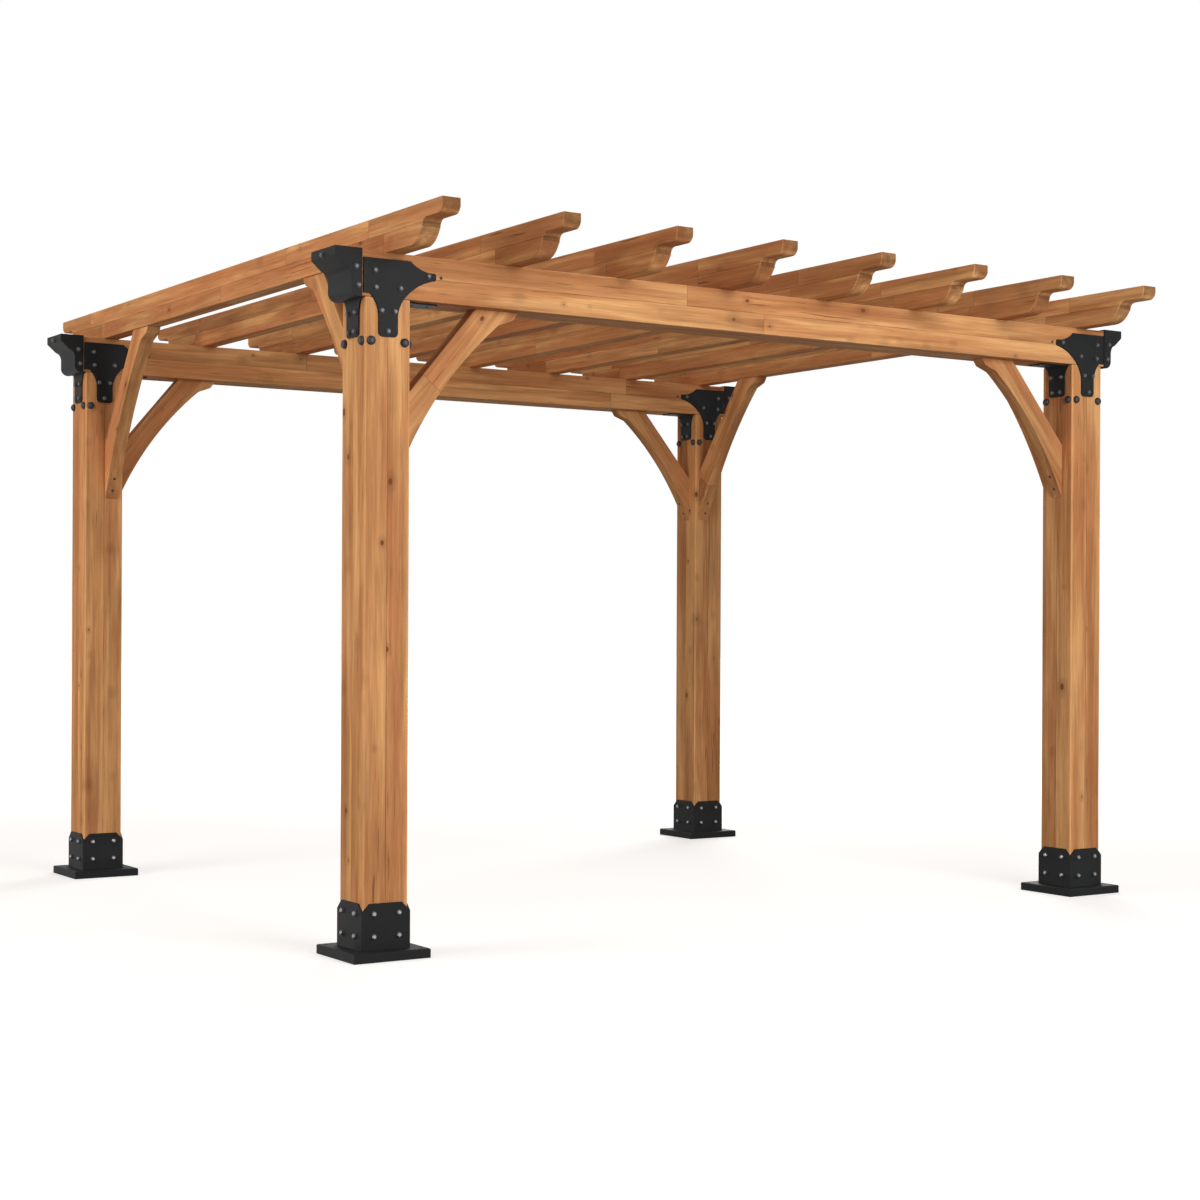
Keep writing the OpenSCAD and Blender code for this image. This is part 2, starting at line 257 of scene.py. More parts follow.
class PergolaStage(bpy.types.PropertyGroup):
    place: bpy.props.FloatVectorProperty(
        name="Camera place", description="Where the camera stands",
        default=(-4.531, -7.117, 1.045), size=3, subtype="TRANSLATION", unit="LENGTH")
    turn: degrees("Camera turn", "Turn of the camera to the right of straight ahead", 33.23)
    roll: degrees("Camera roll", "Roll of the camera about its own axis", 0.265)
    lens: bpy.props.FloatProperty(
        name="Focal length", description="Focal length on a sensor 36 mm wide",
        default=63.98, min=1.0, unit="CAMERA")
    shift: bpy.props.FloatProperty(
        name="Upward shift", description="Shift of the picture as a share of its width",
        default=0.0152)
    sky: share("Sky", "Strength of the even light from all round", 0.29)
    front: watts("Front lamp", "Power of the large soft lamp at the front", 213.0)
    left: watts("Left lamp", "Power of the large soft lamp at the left", 130.0)
    upper: watts("Upper lamp", "Power of the soft lamp high at the left", 88.0)
    back: watts("Back lamp", "Power of the soft lamp behind at the right", 275.0)


class PergolaSettings(bpy.types.PropertyGroup):
    timber: bpy.props.PointerProperty(
        name="Timber", description="Sizes and colours of the timber", type=PergolaTimber)
    steel: bpy.props.PointerProperty(
        name="Steel", description="Sizes and colour of the coated steel", type=PergolaSteel)
    fasteners: bpy.props.PointerProperty(
        name="Fasteners", description="Sizes and colours of the fasteners", type=PergolaFasteners)
    stage: bpy.props.PointerProperty(
        name="Stage", description="Camera and light", type=PergolaStage)


# Shader helpers


def node(tree, kind, inputs=None, **settings):
    """Adds a node, with its settings, and fills or links its inputs by name or place."""
    made = tree.nodes.new(kind)
    for key, value in settings.items():
        setattr(made, key, value)
    for key, value in (inputs or {}).items():
        socket = made.inputs[key]
        if isinstance(value, bpy.types.NodeSocket):
            tree.links.new(value, socket)
        else:
            socket.default_value = value
    return made


def maths(tree, operation, *values):
    """Result of a maths node on numbers or sockets."""
    return node(tree, "ShaderNodeMath", dict(enumerate(values)), operation=operation).outputs[0]


def ramp(tree, value, low, high, at_low=0.0, at_high=1.0):
    """A smooth step of a value between two limits."""
    made = node(tree, "ShaderNodeMapRange", dict(enumerate((value, low, high, at_low, at_high))),
                interpolation_type="SMOOTHSTEP")
    return made.outputs[0]


def mixed(tree, factor, a, b, mode="MIX"):
    """Colour a blended towards b."""
    made = node(tree, "ShaderNodeMix", {0: factor, 6: a, 7: b}, data_type="RGBA", blend_type=mode)
    return made.outputs[2]


def stretched(tree, vector, scale):
    """A vector scaled along each axis."""
    made = node(tree, "ShaderNodeVectorMath", {0: vector, 1: scale}, operation="MULTIPLY")
    return made.outputs[0]


def noise(tree, vector, detail, roughness=0.5, distortion=0.0):
    """Soft noise of unit size on a vector."""
    made = node(tree, "ShaderNodeTexNoise", {
        "Vector": vector, "Scale": 1.0, "Detail": detail, "Roughness": roughness,
        "Distortion": distortion})
    return made.outputs[0]


def grain_noise(tree, grain, kind):
    """One kind of noise drawn out along the grain."""
    along, across, *rest = GRAIN[kind]
    return noise(tree, stretched(tree, grain, (along, across, across)), *rest)


def spots(tree, waves, roughness=0.5):
    """Even noise in the object's own space, in waves to a metre."""
    place = node(tree, "ShaderNodeTexCoord").outputs["Object"]
    return noise(tree, stretched(tree, place, (waves, waves, waves)), 3.0, roughness)


def bumped(tree, height, strength, distance):
    """A surface's facing, roughened by a height."""
    made = node(tree, "ShaderNodeBump", {
        "Strength": strength, "Distance": distance, "Height": height})
    return made.outputs[0]


def attribute(tree, name, output):
    """A named value that the mesh carries."""
    return node(tree, "ShaderNodeAttribute", attribute_name=name).outputs[output]


def opaque(rgb, gain=1.0):
    """A colour with full alpha, made lighter or darker by a gain."""
    return (*(part * gain for part in rgb), 1.0)


def new_material(name):
    """An empty material and its node tree."""
    made = bpy.data.materials.new(name)
    made.use_nodes = True
    made.node_tree.nodes.clear()
    return made, made.node_tree


def surface(tree, inputs):
    """Ends a material in one glossy surface."""
    shader = node(tree, "ShaderNodeBsdfPrincipled", inputs)
    node(tree, "ShaderNodeOutputMaterial", {"Surface": shader.outputs[0]})


# Finishes


def knots(tree, grain):
    """Sparse round knots, and the halo that spreads from each."""
    cell = node(tree, "ShaderNodeTexVoronoi", {
        "Vector": stretched(tree, grain, KNOT_CELLS), "Scale": 1.0}).outputs
    pick = node(tree, "ShaderNodeSeparateColor", {0: cell["Color"]}).outputs
    radius = maths(tree, "MULTIPLY_ADD", pick[0], *KNOT_RADIUS)
    radius = maths(tree, "MULTIPLY", radius, ramp(tree, pick[1], *KNOT_CHOICE))
    inside = maths(tree, "DIVIDE", cell["Distance"], maths(tree, "MAXIMUM", radius, NO_KNOT))
    return ramp(tree, inside, *KNOT_EDGE, 1.0, 0.0), ramp(tree, inside, *HALO_EDGE, 1.0, 0.0)


def late_wood(tree, grain, halo, spacing):
    """Late wood of the growth rings about a board's own pith, darker in some years."""
    parts = node(tree, "ShaderNodeSeparateXYZ", {0: grain}).outputs
    squares = [maths(tree, "MULTIPLY", parts[side], parts[side]) for side in (1, 2)]
    reach = maths(tree, "SQRT", maths(tree, "ADD", *squares))
    wander = grain_noise(tree, grain, "wander")
    reach = maths(tree, "ADD", reach, maths(tree, "MULTIPLY", wander, RING_WANDER))
    reach = maths(tree, "ADD", reach, maths(tree, "MULTIPLY", halo, RING_SWELL))
    ring = maths(tree, "DIVIDE", reach, spacing)
    number = maths(tree, "FLOOR", ring)
    year = node(tree, "ShaderNodeTexWhiteNoise", {"W": number}, noise_dimensions="1D").outputs[0]
    rise = maths(tree, "POWER", maths(tree, "FRACT", ring), RING_RISE)
    return maths(tree, "MULTIPLY", rise, maths(tree, "MULTIPLY_ADD", year, *YEARS))


def glue_lines(tree, grain, width):
    """Glue lines and finger joints at the boards' edges, fainter here and there."""
    plank = node(tree, "ShaderNodeSeparateXYZ", {0: attribute(tree, "plank", "Vector")}).outputs
    seam = maths(tree, "MINIMUM", *[maths(tree, "ABSOLUTE", plank[side]) for side in (0, 1)])
    butt = maths(tree, "MINIMUM", plank[2], attribute(tree, "plank_left", "Fac"))
    open_seam = ramp(tree, grain_noise(tree, grain, "seam"), *SEAM_AT, FAINT_SEAM, 1.0)
    glue = maths(tree, "MULTIPLY", ramp(tree, seam, 0.0, width, 1.0, 0.0), open_seam)
    return maths(tree, "MAXIMUM", glue, ramp(tree, butt, 0.0, width, BUTT_SHARE, 0.0))


def timber_finish(kind, timber):
    """Stained softwood with growth rings, streaks, knots, checks and glue lines."""
    made, tree = new_material(kind + "_stain")
    redness, edge_wear_and_highlight = STAINS[kind]
    grain = attribute(tree, "grain", "Vector")
    tone, heart, end, worn_and_lit_edge = [attribute(tree, word, "Fac") for word in FACE_VALUES]
    band, streak, fleck, fibre, patch, blotch, check = [
        grain_noise(tree, grain, word)
        for word in ("band", "streak", "fleck", "fibre", "patch", "blotch", "check")]
    knot, halo = knots(tree, grain)
    late = late_wood(tree, grain, halo, timber.ring)
    glue = glue_lines(tree, grain, timber.glue_line)
    check = maths(tree, "MULTIPLY", ramp(tree, check, *CHECK_AT),
                  ramp(tree, patch, *CHECKED_PATCH_AT))

    # Stain colour
    dark = maths(tree, "MULTIPLY", ramp(tree, band, *BAND_AT), BAND_SHARE)
    dark = maths(tree, "MULTIPLY_ADD", ramp(tree, streak, *STREAK_AT), STREAK_SHARE, dark)
    base = mixed(tree, dark, opaque(timber.pale), opaque(timber.brown))
    red = maths(tree, "MULTIPLY_ADD", heart, HEART_SHARE, redness)
    red = maths(tree, "MULTIPLY", ramp(tree, patch, *RED_AT), red)
    base = mixed(tree, red, base, opaque(timber.red))
    base = mixed(tree, maths(tree, "MULTIPLY", late, LATE_SHARE), base, opaque(timber.brown))
    # Rounded edges lightened towards the pale wood: partly rubbed stain, partly a painted highlight
    # along each arris
    base = mixed(tree, maths(tree, "MULTIPLY", worn_and_lit_edge, edge_wear_and_highlight), base, opaque(timber.pale))

    # Light and dark over it
    shade = maths(tree, "MULTIPLY_ADD", fibre, *FIBRE_SHADE)
    for more in (
            maths(tree, "MULTIPLY_ADD", fleck, *FLECK_SHADE),
            maths(tree, "MULTIPLY_ADD", blotch, *BLOTCH_SHADE),
            maths(tree, "MULTIPLY_ADD", tone, *TONE_SHADE),
            ramp(tree, end, *END_AT, 1.0, END_SHADE),
            maths(tree, "MULTIPLY_ADD", halo, *HALO_SHADE)):
        shade = maths(tree, "MULTIPLY", shade, more)
    grey = node(tree, "ShaderNodeCombineColor", {0: shade, 1: shade, 2: shade}).outputs[0]
    base = mixed(tree, 1.0, base, grey, "MULTIPLY")

    # Knots, checks and glue lines
    base = mixed(tree, maths(tree, "MULTIPLY", knot, KNOT_SHARE), base, opaque(timber.knot))
    crack = maths(tree, "MAXIMUM", maths(tree, "MULTIPLY", check, CHECK_SHARE),
                  maths(tree, "MULTIPLY", glue, GLUE_SHARE))
    base = mixed(tree, crack, base, opaque(timber.crack))

    height = maths(tree, "MULTIPLY", late, LATE_RELIEF)
    height = maths(tree, "MULTIPLY_ADD", fibre, FIBRE_RELIEF, height)
    height = maths(tree, "SUBTRACT", height, maths(tree, "MULTIPLY", crack, CRACK_RELIEF))
    surface(tree, {"Base Color": base,
                   "Roughness": maths(tree, "MULTIPLY_ADD", fibre, *TIMBER_ROUGHNESS),
                   "Specular IOR Level": TIMBER_SHINE,
                   "Normal": bumped(tree, height, *TIMBER_BUMP)})
    return made


def coat_finish(name, steel):
    """Black powder coat with its fine grit."""
    made, tree = new_material(name)
    grit = spots(tree, 1.0 / steel.grit, GRIT_ROUGHNESS)
    cloud = spots(tree, CLOUD_WAVES)
    gritty = opaque(steel.coat, GRIT_GAIN)
    base = mixed(tree, ramp(tree, grit, *GRIT_AT), opaque(steel.coat), gritty)
    dust = maths(tree, "MULTIPLY", ramp(tree, cloud, *CLOUD_AT), DUST_SHARE)
    base = mixed(tree, dust, base, opaque(steel.coat, DUST_GAIN))
    rough = maths(tree, "MULTIPLY_ADD", cloud, COAT_SWAY, steel.roughness - COAT_SWAY / 2)
    surface(tree, {"Base Color": base, "Roughness": rough, "Specular IOR Level": COAT_SHINE,
                   "Normal": bumped(tree, grit, *COAT_BUMP)})
    return made


def zinc_finish(name, zinc, roughness):
    """Plated steel, a little dulled in spots."""
    made, tree = new_material(name)
    bloom = spots(tree, BLOOM_WAVES)
    base = mixed(tree, ramp(tree, bloom, *BLOOM_AT), opaque(zinc), opaque(zinc, BLOOM_GAIN))
    rough = ramp(tree, bloom, *DULL_AT, roughness, roughness + ZINC_SWAY)
    surface(tree, {"Base Color": base, "Metallic": 1.0, "Roughness": rough})
    return made


def dark_finish(name):
    """Moulded or coated small parts with light scuffs."""
    made, tree = new_material(name)
    dark, pale, roughness = SMALL_PARTS[name]
    scuff = spots(tree, SCUFF_WAVES)
    base = mixed(tree, ramp(tree, scuff, *SCUFF_AT), opaque(dark), opaque(pale))
    rough = ramp(tree, scuff, *DULL_AT, roughness, roughness + SMALL_SWAY)
    surface(tree, {"Base Color": base, "Roughness": rough, "Specular IOR Level": SMALL_SHINE})
    return made


# Meshes


def copy_of(name):
    """A copy of a frame node as one closed mesh with whole flat faces."""
    bm = bmesh.new()
    bm.from_mesh(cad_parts[name].data)
    bmesh.ops.remove_doubles(bm, verts=bm.verts, dist=WELD)
    bmesh.ops.dissolve_limit(bm, angle_limit=FLAT_ANGLE, verts=bm.verts, edges=bm.edges)
    return bm


def round_edges(bm, radius, segments):
    """Rounds every outer edge sharper than the steps of a curve."""
    sharp = [edge for edge in bm.edges if len(edge.link_faces) == 2
             and edge.is_convex and edge.calc_face_angle() > EDGE_ANGLE]
    bmesh.ops.bevel(bm, geom=sharp, offset=radius, segments=segments, profile=0.5,
                    affect="EDGES", clamp_overlap=True)


def finished(bm, name, material):
    """An object at the origin from a mesh in place, shaded smooth over its rounded edges."""
    mesh = bpy.data.meshes.new(name)
    bm.to_mesh(mesh)
    bm.free()
    mesh.shade_smooth()
    mesh.set_sharp_from_angle(angle=CREASE_ANGLE)
    mesh.materials.append(material)
    made = bpy.data.objects.new(name, mesh)
    bpy.context.scene.collection.objects.link(made)
    weighted = made.modifiers.new("flat faces stay flat", "WEIGHTED_NORMAL")
    weighted.keep_sharp = True
    plain_mesh(made)
    return made


def plain_mesh(made):
    """Turns what an object's modifiers make into its own mesh."""
    bpy.context.view_layer.update()
    graph = bpy.context.evaluated_depsgraph_get()
    rough = made.data
    made.data = bpy.data.meshes.new_from_object(
        made.evaluated_get(graph), preserve_all_data_layers=True, depsgraph=graph)
    made.modifiers.clear()
    made.data.name = made.name
    bpy.data.meshes.remove(rough)


def hand_over(made, slot, *nodes):
    """Makes a piece ride with the frame in place of its nodes; the slot is not used."""
    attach(made, BODY)
    if nodes:
        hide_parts(*nodes)


# Timber


def lay_boards(bm, name, origin, along, across, through, joints, whole=False):
    """Cuts a timber's faces at its glue lines and finger joints, and writes each board's grain.

    Glue lines run along the middle, split across and, if given, through the timber.
    A whole timber has none. joints lists, for each board lane, the places of its finger joints
    along the timber.
    """
    ways = [] if whole else [across] if through is None else [across, through]
    depth = through or along.cross(across)
    for way in ways:
        everything = bm.verts[:] + bm.edges[:] + bm.faces[:]
        bmesh.ops.bisect_plane(bm, geom=everything, dist=CUT, plane_co=origin, plane_no=way)

    def lane_of(face):
        offset = face.calc_center_median() - origin
        return tuple(offset.dot(way) > 0 for way in ways)

    for lane, places in joints.items():
        for place in places:
            faces = [face for face in bm.faces if lane_of(face) == lane]
            edges = list(dict.fromkeys(edge for face in faces for edge in face.edges))
            verts = list(dict.fromkeys(vert for face in faces for vert in face.verts))
            bmesh.ops.bisect_plane(bm, geom=verts + edges + faces, dist=CUT,
                                   plane_co=origin + along * place, plane_no=along)

    grain = bm.loops.layers.float_vector.new("grain")
    plank = bm.loops.layers.float_vector.new("plank")
    left = bm.loops.layers.float.new("plank_left")
    tone, heart, end, arris = [bm.faces.layers.float.new(word) for word in FACE_VALUES]
    boards = {}
    for face in bm.faces:
        lane = lane_of(face)
        spot = (face.calc_center_median() - origin).dot(along)
        stops = [-FAR_OFF, *sorted(joints[lane]), FAR_OFF]
        piece = sum(spot > stop for stop in stops[1:-1])
        if (lane, piece) not in boards:
            rng = random.Random("%s %s %d" % (name, lane, piece))
            pith = rng.uniform(*PITH_AWAY)
            angle = rng.uniform(0.0, math.tau)
            run = rng.uniform(0.0, GRAIN_RUN)
            shift = Vector((run, pith * math.cos(angle), pith * math.sin(angle)))
            boards[lane, piece] = shift, rng.uniform(-1.0, 1.0), rng.random()
        shift, face[tone], face[heart] = boards[lane, piece]
        face[end] = abs(face.normal.dot(along)) ** 2
        face[arris] = float(ARRIS_TILT[0] < abs(face.normal.dot(depth)) < ARRIS_TILT[1])
        for loop in face.loops:
            offset = loop.vert.co - origin
            at = Vector((offset.dot(along), offset.dot(across), offset.dot(depth)))
            to_seam = FAR_OFF if whole else at.y
            to_cross_seam = at.z if through else FAR_OFF
            loop[grain] = at + shift
            loop[plank] = Vector((to_seam, to_cross_seam, at.x - stops[piece]))
            loop[left] = stops[piece + 1] - at.x


def lanes(two_way):
    """The board lanes of a timber with one glue line, or with two that cross."""
    halves = (False, True)
    return [(a, b) for a in halves for b in halves] if two_way else [(a,) for a in halves]


def staggered(name, lane, low, high, board):
    """Finger joints of one lane, about one board apart and never twice in the same place."""
    rng = random.Random("joints %s %s" % (name, lane))
    places = []
    place = low + rng.uniform(*FIRST_BOARD) * board
    while place < high - LEAST_BOARD * board:
        places.append(place)
        place += rng.uniform(*NEXT_BOARD) * board
    return places


def middle(name):
    """Middle of a frame node's box."""
    low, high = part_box(name)
    return (low + high) / 2


def timber_piece(name, slot, material, arris, along, across, through, joints, whole=False):
    """One timber with rounded edges and its boards' grain, in place of its frame node."""
    bm = copy_of(name)
    round_edges(bm, arris, TIMBER_STEPS)
    lay_boards(bm, name, middle(name), along, across, through, joints, whole)
    hand_over(finished(bm, name + "_timber", material), slot, name)


def stave_joints(name, along, board):
    """Finger joints in the four staves of a post or beam."""
    low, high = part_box(name)
    half = abs((high - low).dot(along)) / 2
    return {lane: staggered(name, lane, -half, half, board) for lane in lanes(True)}


def lay_posts(settings):
    """Four square posts of four glued staves each."""
    material = timber_finish("post", settings.timber)
    for corner in CORNERS:
        name = corner + "_post"
        joints = stave_joints(name, Z_AXIS, POST_BOARD)
        timber_piece(name, "post_timber", material, settings.timber.post_arris,
                     Z_AXIS, X_AXIS, Y_AXIS, joints)


def lay_beams(settings):
    """Two long beams of four glued staves each."""
    material = timber_finish("beam", settings.timber)
    for name in BEAMS:
        joints = stave_joints(name, X_AXIS, BEAM_BOARD)
        timber_piece(name, "beam_timber", material, settings.timber.arris,
                     X_AXIS, Z_AXIS, Y_AXIS, joints)


def lay_rafters(settings):
    """Eight rafters of two boards each, joined end to end over the beams."""
    material = timber_finish("rafter", settings.timber)
    for name in RAFTERS:
        joints = {}
        for lane in lanes(False):
            rng = random.Random("joints %s %s" % (name, lane))
            joints[lane] = [side * POST_Y + rng.uniform(-JOINT_OVER_BEAM, JOINT_OVER_BEAM)
                            for side in (-1, 1)]
            joints[lane].append(rng.uniform(-JOINT_BETWEEN, JOINT_BETWEEN))
        timber_piece(name, "rafter_timber", material, settings.timber.arris,
                     Y_AXIS, Z_AXIS, None, joints)


def braces():
    """Every brace's name, and the level way from its post."""
    found = []
    for corner, (sx, sy) in CORNERS.items():
        found.append((corner + "_beam_brace", Vector((-sx, 0, 0))))
        found.append((corner + "_rafter_brace", Vector((0, -sy, 0))))
    return found


def lay_braces(settings):
    """Eight arched knee braces, with the grain from foot to nose."""
    material = timber_finish("brace", settings.timber)
    for name, way in braces():
        low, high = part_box(name)
        size = high - low
        along = (way * abs(size.dot(way)) + Z_AXIS * size.z).normalized()
        across = way.cross(Z_AXIS).cross(along).normalized()
        joints = {(): BRACE_JOINTS.get(name, [])}
        timber_piece(name, "brace_timber", material, settings.timber.arris,
                     along, across, None, joints, whole=True)


# Steel


def coated_piece(name, material, edge):
    """One coated plate with rounded edges, in place of its frame node."""
    bm = copy_of(name)
    round_edges(bm, edge, STEEL_STEPS)
    hand_over(finished(bm, name + "_coated", material), "black_steel", name)


def coat_bases(settings):
    """Four post bases."""
    material = coat_finish("base_coat", settings.steel)
    for corner in CORNERS:
        coated_piece(corner + "_base", material, settings.steel.edge)


def coat_brackets(settings):
    """Plates, end caps and angles at the four post tops."""
    material = coat_finish("bracket_coat", settings.steel)
    for corner in CORNERS:
        for kind in BRACKETS:
            coated_piece("%s_%s" % (corner, kind), material, settings.steel.edge)


# Fasteners


def seat(name, start, way):
    """Where a straight line meets a frame node, and the way that the surface faces there."""
    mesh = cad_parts[name].data
    tree = BVHTree.FromPolygons([v.co for v in mesh.vertices], [p.vertices for p in mesh.polygons])
    spot, facing, _, _ = tree.ray_cast(Vector(start), Vector(way))
    if spot is None:
        raise RuntimeError("no seat for a fastener on " + name)
    return spot, facing


def seats_object(name, seats):
    """Loose points that carry the way each fastener faces and its turn."""
    mesh = bpy.data.meshes.new(name)
    mesh.from_pydata([spot for spot, _ in seats], [], [])
    rng = random.Random(name)
    facing = mesh.attributes.new("facing", "FLOAT_VECTOR", "POINT")
    facing.data.foreach_set("vector", [part for _, way in seats for part in way])
    turn = mesh.attributes.new("turn", "FLOAT", "POINT")
    turn.data.foreach_set("value", [rng.uniform(0.0, math.tau) for _ in seats])
    made = bpy.data.objects.new(name, mesh)
    bpy.context.scene.collection.objects.link(made)
    return made


def product(tree, socket, factor):
    """A size times a plain number."""
    return maths(tree, "MULTIPLY", socket, factor)


def turned(tree, sides, profile, base):
    """A closed form with a few sides, from a profile of radius and height, standing on a height."""

    def lifted(geometry, z):
        lift = node(tree, "ShaderNodeCombineXYZ", {2: maths(tree, "ADD", z, base)}).outputs[0]
        moved = node(tree, "GeometryNodeTransform", {"Geometry": geometry, "Translation": lift})
        return moved.outputs[0]

    parts = []
    for (r0, z0), (r1, z1) in zip(profile, profile[1:]):
        ring = node(tree, "GeometryNodeMeshCone", {
            "Vertices": sides, "Radius Bottom": r0, "Radius Top": r1,
            "Depth": maths(tree, "SUBTRACT", z1, z0)}, fill_type="NONE").outputs[0]
        parts.append(lifted(ring, z0))
    for (radius, z), under in ((profile[0], True), (profile[-1], False)):
        disc = node(tree, "GeometryNodeMeshCircle", {"Vertices": sides, "Radius": radius},
                    fill_type="NGON").outputs[0]
        if under:
            disc = node(tree, "GeometryNodeFlipFaces", {"Mesh": disc}).outputs[0]
        parts.append(lifted(disc, z))
    joined = node(tree, "GeometryNodeJoinGeometry")
    for part in parts:
        tree.links.new(part, joined.inputs[0])
    welded = node(tree, "GeometryNodeMergeByDistance", {
        "Geometry": joined.outputs[0], "Distance": WELD})
    return welded.outputs[0]


def fastener_tree(name, form, sizes):
    """A node tree that stands one fastener on every point and makes the set plain geometry."""
    tree = bpy.data.node_groups.new(name, "GeometryNodeTree")
    ways = tree.interface
    ways.new_socket("Geometry", in_out="OUTPUT", socket_type="NodeSocketGeometry")
    ways.new_socket("Geometry", in_out="INPUT", socket_type="NodeSocketGeometry")
    for word in sizes:
        ways.new_socket(word, in_out="INPUT", socket_type="NodeSocketFloat")
    ways.new_socket("Material", in_out="INPUT", socket_type="NodeSocketMaterial")
    given = node(tree, "NodeGroupInput").outputs

    sides, smooth, rings = FORMS[form]
    radius = product(tree, given["Head"], 0.5)
    profile = [(product(tree, radius, a), product(tree, given["Height"], b)) for a, b in rings]
    one = turned(tree, sides, profile, given["Standoff"])

    facing = node(tree, "GeometryNodeInputNamedAttribute", {"Name": "facing"},
                  data_type="FLOAT_VECTOR").outputs[0]
    turn = node(tree, "GeometryNodeInputNamedAttribute", {"Name": "turn"},
                data_type="FLOAT").outputs[0]
    stand = node(tree, "FunctionNodeAlignRotationToVector", {"Vector": facing}, axis="Z").outputs[0]
    spin = node(tree, "FunctionNodeAxisAngleToRotation", {
        "Axis": Z_AXIS, "Angle": turn}).outputs[0]
    stand = node(tree, "FunctionNodeRotateRotation", {"Rotation": stand, "Rotate By": spin},
                 rotation_space="LOCAL").outputs[0]
    placed = node(tree, "GeometryNodeInstanceOnPoints", {
        "Points": given["Geometry"], "Instance": one, "Rotation": stand}).outputs[0]
    plain = node(tree, "GeometryNodeRealizeInstances", {"Geometry": placed}).outputs[0]
    shaded = node(tree, "GeometryNodeSetShadeSmooth", {
        "Geometry": plain, "Shade Smooth": smooth}).outputs[0]
    dressed = node(tree, "GeometryNodeSetMaterial", {
        "Geometry": shaded, "Material": given["Material"]}).outputs[0]
    node(tree, "NodeGroupOutput", {"Geometry": dressed})
    return tree


def fastener_set(name, seats, form, head, height, material, standoff=0.0):
    """All fasteners of one kind as one plain mesh that rides with the frame."""
    made = seats_object(name, seats)
    sizes = {"Head": head, "Height": height, "Standoff": standoff}
    tree = fastener_tree(name, form, sizes)
    nodes = made.modifiers.new("fasteners", "NODES")
    nodes.node_group = tree
    for socket in tree.interface.items_tree:
        if socket.in_out == "INPUT" and socket.name in sizes:
            nodes[socket.identifier] = sizes[socket.name]
        elif socket.in_out == "INPUT" and socket.name == "Material":
            nodes[socket.identifier] = material
    plain_mesh(made)
    made.data.materials.clear()
    made.data.materials.append(material)
    made.data.polygons.foreach_set("material_index", [0] * len(made.data.polygons))
    hand_over(made, "black_steel")


def beside_post(sx, sy, face, side, z):
    """A point well out from one face of a corner's post, to one side of its middle."""
    dx, dy = face
    return sx * POST_X + dx + dy * side, sy * POST_Y + dy + dx * side, z


def base_bolts():
    """Two rows of two on every face of every base sleeve."""
    seats = []
    for corner, (sx, sy) in CORNERS.items():
        for face in FACES:
            for side in (-BASE_SPREAD, BASE_SPREAD):
                for row in BASE_ROWS:
                    start = beside_post(sx, sy, face, side, FLANGE_TOP + row)
                    seats.append(seat(corner + "_base", start, (-face[0], -face[1], 0)))
    return seats


def bracket_bolts():
    """Bolts through the face plates, caps, legs and angles at the post tops."""
    seats = []
    for corner, (sx, sy) in CORNERS.items():
        y = sy * POST_Y

        def spot(inward, up, beside=0.0):
            return Vector((sx * (OUTER_X - inward), y + beside, UNDERSIDE + up))

        for outward in (-1, 1):
            plate = corner + ("_outer_plate" if outward == sy else "_inner_plate")
            way = (0, -outward, 0)
            for inward, up in PLATE_BOLTS:
                seats.append(seat(plate, spot(inward, up, outward), way))
            for inward, up in CAP_SIDE_BOLTS:
                seats.append(seat(corner + "_end_cap", spot(inward, up, outward), way))
        seats.append(seat(corner + "_end_cap", spot(-1, CAP_END_Z), (-sx, 0, 0)))
        for spread, up in LEG_ROWS:
            for beside in (-spread, spread):
                seats.append(seat(corner + "_end_cap", spot(-1, up, beside), (-sx, 0, 0)))
                seats.append(seat(corner + "_angle", spot(1, up, beside), (sx, 0, 0)))
    return seats


def post_knobs():
    """Two on every post face, just under the bracket legs."""
    seats = []
    inset = POST_W / 2 - KNOB_EDGE
    for corner, (sx, sy) in CORNERS.items():
        for face in FACES:
            for side in (-inset, inset):
                start = beside_post(sx, sy, face, side, UNDERSIDE - KNOB_DROP)
                seats.append(seat(corner + "_post", start, (-face[0], -face[1], 0)))
    return seats


def beam_screws():
    """One in each beam face beyond a plate's finger, and two up through the arm of every angle."""
    seats = []
    inward, up = BEAM_SCREW
    for corner, (sx, sy) in CORNERS.items():
        for outward in (-1, 1):
            start = (sx * (OUTER_X - inward), sy * POST_Y + outward, UNDERSIDE + up)
            seats.append(seat(BEAMS[sy > 0], start, (0, -outward, 0)))
        for arm in ARM_SCREWS:
            start = (sx * (OUTER_X - POST_W - arm), sy * POST_Y, UNDERSIDE - 1)
            seats.append(seat(corner + "_angle", start, Z_AXIS))
    return seats


def brace_screws():
    """Two at the foot of every brace, in its arch."""
    seats = []
    for name, way in braces():
        low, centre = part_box(name)[0], middle(name)
        for up in FOOT_SCREWS:
            seats.append(seat(name, Vector((centre.x, centre.y, low.z + up)) + way, -way))
    return seats


def drive_bolts(settings):
    """All hexagon bolts on their washers, as one set on the bases and one on the brackets."""
    sizes = settings.fasteners
    black = dark_finish("washer_black")
    # The brackets' bolts take the darker zinc, a painted shade that damps their glint from the
    # lamps
    for group, seats, zinc, dull in (("base", base_bolts(), sizes.zinc, BASE_DULL),
                                     ("bracket", bracket_bolts(), sizes.shaded_zinc, BRACKET_DULL)):
        fastener_set(group + "_washers", seats, "washer", sizes.washer, sizes.washer_t, black)
        plated = zinc_finish(group + "_zinc", zinc, dull)
        fastener_set(group + "_bolts", seats, "bolt", sizes.bolt_across, sizes.bolt_height, plated,
                     standoff=sizes.washer_t)


def fit_knobs(settings):
    """The round knobs on the posts."""
    sizes = settings.fasteners
    fastener_set("post_knobs", post_knobs(), "knob", sizes.knob, sizes.knob_height,
                 dark_finish("knob_black"))


